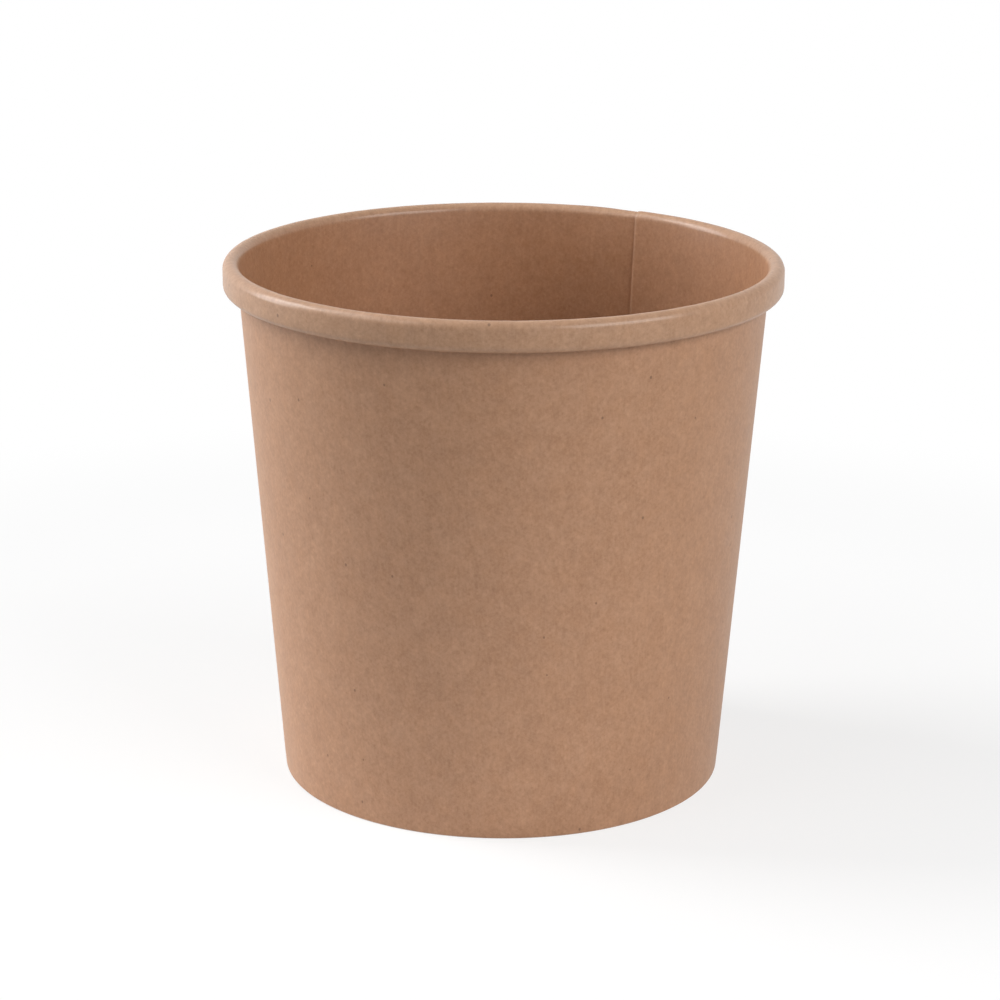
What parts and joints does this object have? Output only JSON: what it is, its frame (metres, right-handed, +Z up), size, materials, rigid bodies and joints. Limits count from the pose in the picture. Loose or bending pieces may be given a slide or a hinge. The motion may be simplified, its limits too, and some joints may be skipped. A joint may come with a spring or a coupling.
{
  "type": "paper soup bowl",
  "caption": "Open round kraft paperboard soup tub, tapered towards the foot, with a rolled rim, a lapped side seam and a recessed bottom.",
  "frame": {"origin": "centre of the foot's rim, in the plane that the tub stands on", "axes": "+Z up along the tub's axis; +Y points away from the picture's camera and +X to the right of the picture, so the inner edge of the side seam lies at 58 degrees from +X towards +Y"},
  "size_m": [0.09, 0.09, 0.0856],
  "materials": {
    "kraft_board": "matt kraft board with fine fibres and a thin clear sealing film"
  },
  "bodies": {
    "root": {"side_wall": "kraft_board", "bottom_disc": "kraft_board"}
  },
  "joints": []
}
